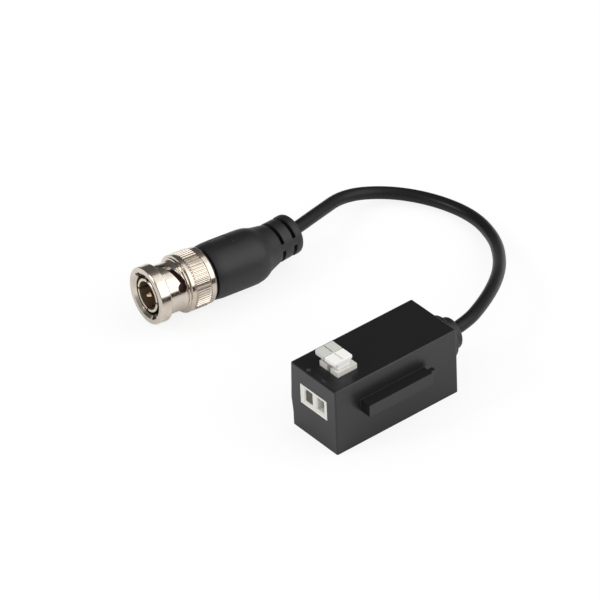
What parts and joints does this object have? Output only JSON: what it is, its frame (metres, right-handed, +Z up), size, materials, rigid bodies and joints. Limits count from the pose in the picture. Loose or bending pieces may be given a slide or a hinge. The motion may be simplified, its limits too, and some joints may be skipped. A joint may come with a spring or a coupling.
{
  "type": "cctv video balun",
  "caption": "Small black box with a push-lever wire terminal, a side rail and a short coaxial cord that ends in a booted bayonet video plug.",
  "frame": {"origin": "on the floor, under the middle of the box", "axes": "+Z up, +Y from the terminal face to the cord outlet, +X towards the side rail"},
  "size_m": [0.0789, 0.0863, 0.0217],
  "materials": {
    "housing_black": "fine satin moulded",
    "board_green": "solder mask",
    "terminal_nylon": "satin moulded",
    "lever_grey": "satin moulded",
    "lever_white": "satin moulded",
    "tinned_contact": "tin plated",
    "spring_steel": "plain strip",
    "ferrite": "sintered",
    "copper_wire": "enamelled copper",
    "chip_ceramic": "ceramic",
    "arrester_ceramic": "ceramic",
    "soft_black": "matte soft moulding",
    "cord_black": "satin sheath",
    "nickel": "bright nickel plate",
    "nickel_dull": "dull nickel plate",
    "insulator_white": "satin",
    "gold_pin": "gold plated",
    "gasket_red": "matte"
  },
  "bodies": {
    "balun": {"housing": "housing_black", "base_cover": "housing_black", "circuit_board": "board_green", "terminal_body": "terminal_nylon", "contact_pin_left": "tinned_contact", "contact_pin_right": "tinned_contact", "clamp_spring_left": "spring_steel", "clamp_spring_right": "spring_steel", "choke_core": "ferrite", "choke_winding": "copper_wire", "chip_parts": "chip_ceramic", "surge_arrester": "arrester_ceramic", "cable_grommet": "soft_black", "cord": "cord_black", "core_lead": "copper_wire", "braid_lead": "copper_wire", "boot": "soft_black", "crimp_ferrule": "nickel", "plug_body": "nickel", "outer_contact": "nickel_dull", "insulator": "insulator_white", "centre_pin": "gold_pin", "gasket": "gasket_red", "retaining_ring": "spring_steel", "spring_washer": "spring_steel"},
    "coupling_nut": {"coupling_nut": "nickel"},
    "push_lever_left": {"push_lever_left": "lever_grey"},
    "push_lever_right": {"push_lever_right": "lever_white"}
  },
  "joints": [
    {"name": "nut_spin", "type": "hinge", "parent": "balun", "child": "coupling_nut", "pos_m": [-0.06057, -0.01972, 0.00815], "axis": [0.0794, 0.996, -0.0404], "continuous": true},
    {"name": "lever_left_press", "type": "slide", "parent": "balun", "child": "push_lever_left", "axis": [0, 0, -1], "range_m": [0, 0.0015], "stiffness_N_per_m": 500, "springref_m": -0.001, "deforming": ["clamp_spring_left"]},
    {"name": "lever_right_press", "type": "slide", "parent": "balun", "child": "push_lever_right", "axis": [0, 0, -1], "range_m": [0, 0.0015], "stiffness_N_per_m": 500, "springref_m": -0.001, "deforming": ["clamp_spring_right"]}
  ]
}
